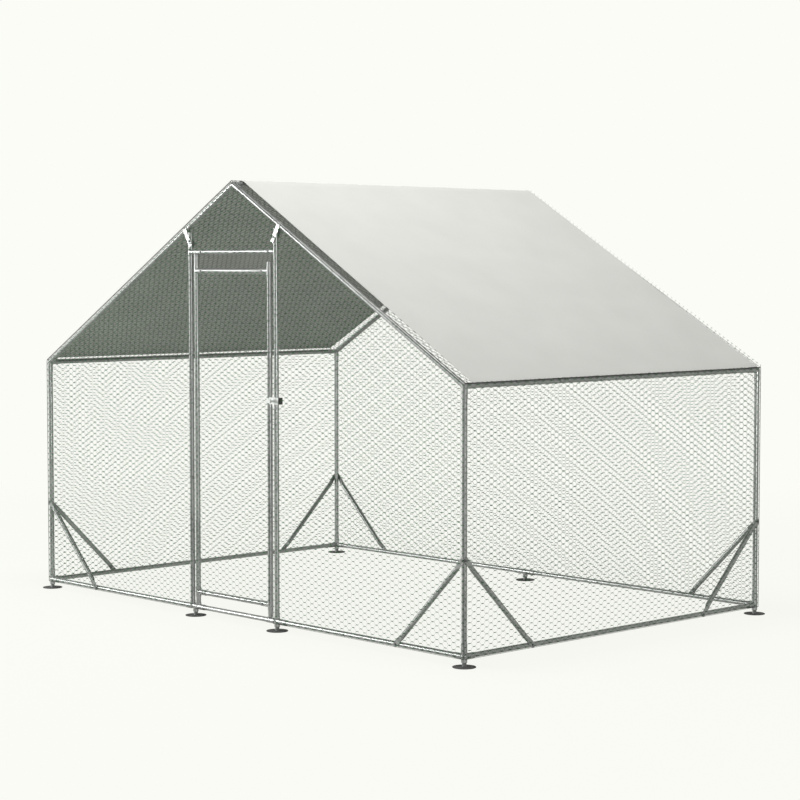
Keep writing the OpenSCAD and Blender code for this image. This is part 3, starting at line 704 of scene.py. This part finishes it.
class RUN_OT_weave_netting(bpy.types.Operator):
    """Weaves the wire netting of the walls, the roof and the door"""
    bl_idname = "run.weave_netting"
    bl_label = "Weave the netting"

    def execute(self, context):
        sizes = context.scene.run_netting
        tones = context.scene.run_finishes
        wire = zinc_material("netting wire", tones.wire_light, tones.wire_dark, WIRE_CRYSTALS,
                             dullness=0.68, metal=0.0, specular=0.2, pit_depth=WIRE_PIT_DEPTH)
        dark = tones.zinc_dark
        edging = zinc_material("netting edge wire", toned(dark, 0.35), toned(dark, 0.12), WIRE_CRYSTALS,
                               dullness=0.5, metal=0.3)
        for node, body, outline, place, turned, outward in self.panels(sizes):
            notch = self.latch_notch(sizes) if node == "front_net_right" else None
            bm = netting_panel(sizes, outline, turned, self.edge_wires(sizes, node), notch)
            weave = edging if node.startswith("roof") else wire
            piece = new_piece(node + "_wires", bm, [weave, edging])
            settle_edges(piece.data, sizes, outline, outward)
            piece.data.transform(place)
            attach(piece, body)
            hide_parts(node)
        return {"FINISHED"}

    @staticmethod
    def edge_wires(sizes, node):
        """Wire diameter of each side of a panel, in the order of its outline."""
        thin, thick = sizes.selvedge_diameter, sizes.roof_edge_wire
        if node == "back_net":
            return [thin, thin, 0, 0, thin]
        if node == "roof_net_right":
            return [thick, thick, thin, thin]
        if node == "roof_net_left":
            return [thick, thin, thin, thin]
        return [thin] * 5

    @staticmethod
    def latch_notch(sizes):
        """The part of the front right panel that the latch strap swings through."""
        low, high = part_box("latch_strap")
        return (Vector((low.x, low.z - sizes.latch_clearance)),
                Vector((high.x + sizes.latch_clearance, high.z + sizes.latch_clearance)))

    @staticmethod
    def panels(sizes):
        """Node, body, outline and place of each panel, whether its twists turn, and its outer side."""
        past = sizes.edge_past_axis
        foot = middle("base_right").z - past
        left, right = middle("door_post_left").x, middle("door_post_right").x
        spans = {
            "front_net_left": (-HALF_WIDTH - past, left + past, foot),
            "front_net_right": (right - past, HALF_WIDTH + past, foot),
            "front_net_top": (left + past, right - past, middle("door_header").z - past),
            "back_net": (-HALF_WIDTH - past, HALF_WIDTH + past, foot),
        }
        listed = []
        for node, span in spans.items():
            at = (0, middle(node).y, 0)
            stand = sizes.back_stand if node == "back_net" else TUBE_RADIUS * GABLE_STAND
            listed.append((node, "frame", gable_outline(*span, stand), plane_at((1, 0, 0), (0, 0, 1), at),
                           node != "back_net", -1 if node == "back_net" else 1))
        for node in ("left_net", "right_net"):
            outline = box_outline(-HALF_DEPTH - past, HALF_DEPTH + past, foot, EAVE_Z + past)
            at = (middle(node).x, 0, 0)
            listed.append((node, "frame", outline, plane_at((0, 1, 0), (0, 0, 1), at), True,
                           -1 if node == "left_net" else 1))
        for node, side in (("roof_net_left", -1), ("roof_net_right", 1)):
            low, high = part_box(node)
            reach = (high.z - low.z) / math.sin(SLOPE)
            down = Vector((side * math.cos(SLOPE), 0, -math.sin(SLOPE)))
            ridge = Vector((low.x if side > 0 else high.x, 0, high.z))
            outline = box_outline(0, reach, low.y, high.y)
            listed.append((node, "frame", outline, plane_at(down, (0, 1, 0), ridge), False, 0))
        low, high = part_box("door_net")
        outline = box_outline(middle("hinge_stile").x - past, middle("latch_stile").x + past, low.z, high.z)
        at = (0, middle("door_net").y, 0)
        listed.append(("door_net", "door", outline, plane_at((1, 0, 0), (0, 0, 1), at), True, 1))
        return listed


class RUN_OT_lay_roof_sheet(bpy.types.Operator):
    """Lays the woven roof sheet over the ridge"""
    bl_idname = "run.lay_roof_sheet"
    bl_label = "Lay the roof sheet"

    def execute(self, context):
        sizes = context.scene.run_sheet
        tones = context.scene.run_finishes
        low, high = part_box("roof_cover")
        bend = sizes.lift * SLOPE
        reach = high.x / math.cos(SLOPE) - sizes.lift * math.tan(SLOPE) + bend
        bm = bmesh.new()
        bmesh.ops.create_grid(bm, x_segments=SHEET_COLUMNS, y_segments=SHEET_ROWS, size=0.5)
        uv = bm.loops.layers.uv.new("cut")
        flat = {}
        for vert in bm.verts:
            width = reach if vert.co.x > 0 else reach - sizes.left_short
            flat[vert] = (vert.co.x * 2 * width, low.y + (vert.co.y + 0.5) * (high.y - low.y))
        for face in bm.faces:
            for loop in face.loops:
                loop[uv].uv = flat[loop.vert]
        for vert, (across, along) in flat.items():
            vert.co = self.laid(sizes, across, along, reach, low.y, high.y)
        bmesh.ops.recalc_face_normals(bm, faces=bm.faces)
        self.double_hem(bm, sizes, flat, reach, low.y, high.y)
        self.thicken(bm, sizes)
        top = sheet_material("roof sheet outside", tones.sheet_top, toned(tones.sheet_top, 0.92))
        # The underside material is painted light: a lighter, greener copy of the same sheet for its shaded
        # side
        under = sheet_material("roof sheet underside", tones.sheet_under_painted_light, toned(tones.sheet_under_painted_light, 0.8))
        piece = new_piece("roof_sheet", bm, [top, under])
        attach(piece, "frame")
        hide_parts("roof_cover")
        return {"FINISHED"}

    @staticmethod
    def laid(sizes, across, along, reach, front, back):
        """Where a point of the flat sheet lies on the roof."""
        lift, bend = sizes.lift, sizes.lift * SLOPE
        side = 1 if across >= 0 else -1
        run = abs(across)
        depth = (along - front) / (back - front)
        near_ridge = max(0.0, 1 - run / reach)
        drawn = sizes.right_draw if side > 0 else sizes.left_draw
        along += sizes.front_bow * (1 - depth) * near_ridge
        along += depth * (sizes.ridge_past * near_ridge - drawn * run / reach)
        slack = math.sin(math.pi * min(1.0, run / reach)) * math.sin(math.pi * depth)
        wave = SLACK_MEAN + sum(
            height * math.sin(FULL_TURN * (deep * depth + down * run) + shift * side)
            for height, deep, down, shift in SLACK_WAVES)
        lift += sizes.ripple * slack * wave
        lift -= sizes.edge_droop * max(0.0, 1 - (reach - across) / sizes.hem_width) ** 2
        if run < bend:
            angle = run / sizes.lift
            return Vector((side * lift * math.sin(angle), along, RIDGE_Z + lift * math.cos(angle)))
        down = run - bend
        x = lift * math.sin(SLOPE) + down * math.cos(SLOPE)
        z = RIDGE_Z + lift * math.cos(SLOPE) - down * math.sin(SLOPE)
        return Vector((side * x, along, z))

    @staticmethod
    def thicken(bm, sizes):
        """Gives the sheet its thickness, its underside the separate lighter material with painted light, and
        crisp edges.
        """
        bmesh.ops.solidify(bm, geom=bm.faces[:], thickness=sizes.thickness)
        bmesh.ops.recalc_face_normals(bm, faces=bm.faces)
        for face in bm.faces:
            face.material_index = 1 if face.normal.z < UNDERSIDE_NORMAL else 0
        for edge in bm.edges:
            edge.smooth = edge.calc_face_angle(0.0) < CRISP_ANGLE

    @staticmethod
    def double_hem(bm, sizes, flat, reach, front, back):
        """Raises the doubled edge along all four sides."""
        edge_faces = set()
        for face in bm.faces:
            spots = [flat[vert] for vert in face.verts]
            across = sum(abs(s[0]) for s in spots) / len(spots)
            along = sum(s[1] for s in spots) / len(spots)
            if across > reach - sizes.hem_width or min(along - front, back - along) < sizes.hem_width:
                edge_faces.add(face)
        if not edge_faces:
            raise RuntimeError("the roof sheet has no hem faces")
        for vert in bm.verts:
            if all(face in edge_faces for face in vert.link_faces):
                vert.co += vert.normal * sizes.hem_rise


class RUN_OT_set_stage(bpy.types.Operator):
    """Sets the floor, the light and the camera"""
    bl_idname = "run.set_stage"
    bl_label = "Set the stage"

    def execute(self, context):
        stage = context.scene.run_stage
        self.lay_floor(stage)
        self.light_world(context, stage)
        self.hang_lamps(context, stage)
        lens = bpy.data.cameras.new("camera")
        lens.sensor_width = SENSOR_WIDTH
        lens.lens = stage.focal_length
        camera = bpy.data.objects.new("camera", lens)
        camera.location = stage.camera_place
        camera.rotation_euler = stage.camera_turn
        context.scene.collection.objects.link(camera)
        context.scene.camera = camera
        context.scene.view_settings.view_transform = "Standard"
        return {"FINISHED"}

    @staticmethod
    def lay_floor(stage):
        """A pale floor that glows as the backdrop does and keeps a little of the run's shadow."""
        bm = bmesh.new()
        bmesh.ops.create_grid(bm, x_segments=FLOOR_CELLS, y_segments=FLOOR_CELLS, size=FLOOR_REACH)
        bmesh.ops.translate(bm, verts=bm.verts, vec=(0, 0, -FLOOR_DROP))
        material, tree, shader = blank_material("pale floor")
        tree.nodes.remove(shader)
        bare = add_node(tree, "ShaderNodeBsdfDiffuse")
        glow = add_node(tree, "ShaderNodeEmission", Color=(*stage.backdrop, 1.0), Strength=1.0)
        blend = add_node(tree, "ShaderNodeMixShader")
        place = tree.nodes.new("ShaderNodeTexCoord")
        far = tree.nodes.new("ShaderNodeVectorMath")
        far.operation = "LENGTH"
        tree.links.new(place.outputs["Object"], far.inputs[0])
        fade = spread(tree, far.outputs["Value"], *SHADOW_FADE, 1.0 - stage.shadow_share, 1.0)
        seen = seen_directly(tree)
        tree.links.new(maths(tree, "MULTIPLY", seen, fade), blend.inputs[0])
        dim = toned(stage.backdrop, stage.floor_bounce)
        tree.links.new(mix_colours(tree, seen, dim, stage.backdrop), bare.inputs["Color"])
        tree.links.new(bare.outputs[0], blend.inputs[1])
        tree.links.new(glow.outputs[0], blend.inputs[2])
        tree.links.new(blend.outputs[0], tree.nodes["Material Output"].inputs["Surface"])
        new_piece("floor", bm, [material])

    @staticmethod
    def light_world(context, stage):
        """An even sky that is seen as the backdrop."""
        world = bpy.data.worlds.new("studio")
        context.scene.world = world
        world.use_nodes = True
        tree = world.node_tree
        soft = tree.nodes["Background"]
        soft.inputs["Color"].default_value = (*SKY_TINT, 1.0)
        soft.inputs["Strength"].default_value = stage.sky_strength
        back = add_node(tree, "ShaderNodeBackground", Color=(*stage.backdrop, 1.0), Strength=1.0)
        blend = tree.nodes.new("ShaderNodeMixShader")
        tree.links.new(seen_directly(tree), blend.inputs[0])
        tree.links.new(soft.outputs[0], blend.inputs[1])
        tree.links.new(back.outputs[0], blend.inputs[2])
        tree.links.new(blend.outputs[0], tree.nodes["World Output"].inputs["Surface"])

    @staticmethod
    def hang_lamps(context, stage):
        """Soft lamps at the front left and over the ridge, and one that only shows in reflections."""
        powers = {"front": stage.key_power, "top": stage.top_power, "strip": stage.strip_power}
        for name, power in powers.items():
            lamp = bpy.data.lights.new(name, "AREA")
            lamp.energy = power
            lamp.size = LAMP_WIDTHS[name]
            hung = bpy.data.objects.new(name, lamp)
            hung.location = LAMP_PLACES[name]
            hung.visible_diffuse = name != "strip"
            hung.rotation_euler = (LAMP_AIM - Vector(LAMP_PLACES[name])).to_track_quat("-Z", "Y").to_euler()
            context.scene.collection.objects.link(hung)


class RUN_PT_sidebar(bpy.types.Panel):
    """Lists the steps that dress the run"""
    bl_idname = "RUN_PT_sidebar"
    bl_label = "Chicken run"
    bl_space_type = "VIEW_3D"
    bl_region_type = "UI"
    bl_category = "Chicken run"

    def draw(self, context):
        scene = context.scene
        for group, step in (
                (scene.run_finishes, RUN_OT_finish_steel),
                (scene.run_netting, RUN_OT_weave_netting),
                (scene.run_sheet, RUN_OT_lay_roof_sheet),
                (scene.run_stage, RUN_OT_set_stage)):
            box = self.layout.box()
            for name in group.bl_rna.properties.keys():
                if name not in {"rna_type", "name"}:
                    box.prop(group, name)
            box.operator(step.bl_idname)


CLASSES = (
    RunNettingSizes, RunSheetSizes, RunFinishes, RunStageSizes,
    RUN_OT_finish_steel, RUN_OT_weave_netting, RUN_OT_lay_roof_sheet, RUN_OT_set_stage,
    RUN_PT_sidebar,
)
GROUPS = {
    "run_netting": RunNettingSizes,
    "run_sheet": RunSheetSizes,
    "run_finishes": RunFinishes,
    "run_stage": RunStageSizes,
}


def register():
    for cls in CLASSES:
        bpy.utils.register_class(cls)
    for name, group in GROUPS.items():
        setattr(bpy.types.Scene, name, bpy.props.PointerProperty(type=group))


def unregister():
    for name in GROUPS:
        delattr(bpy.types.Scene, name)
    for cls in reversed(CLASSES):
        bpy.utils.unregister_class(cls)


def main():
    register()
    bpy.ops.run.set_stage()
    bpy.ops.run.finish_steel()
    bpy.ops.run.weave_netting()
    bpy.ops.run.lay_roof_sheet()


if __name__ == "__main__":
    main()
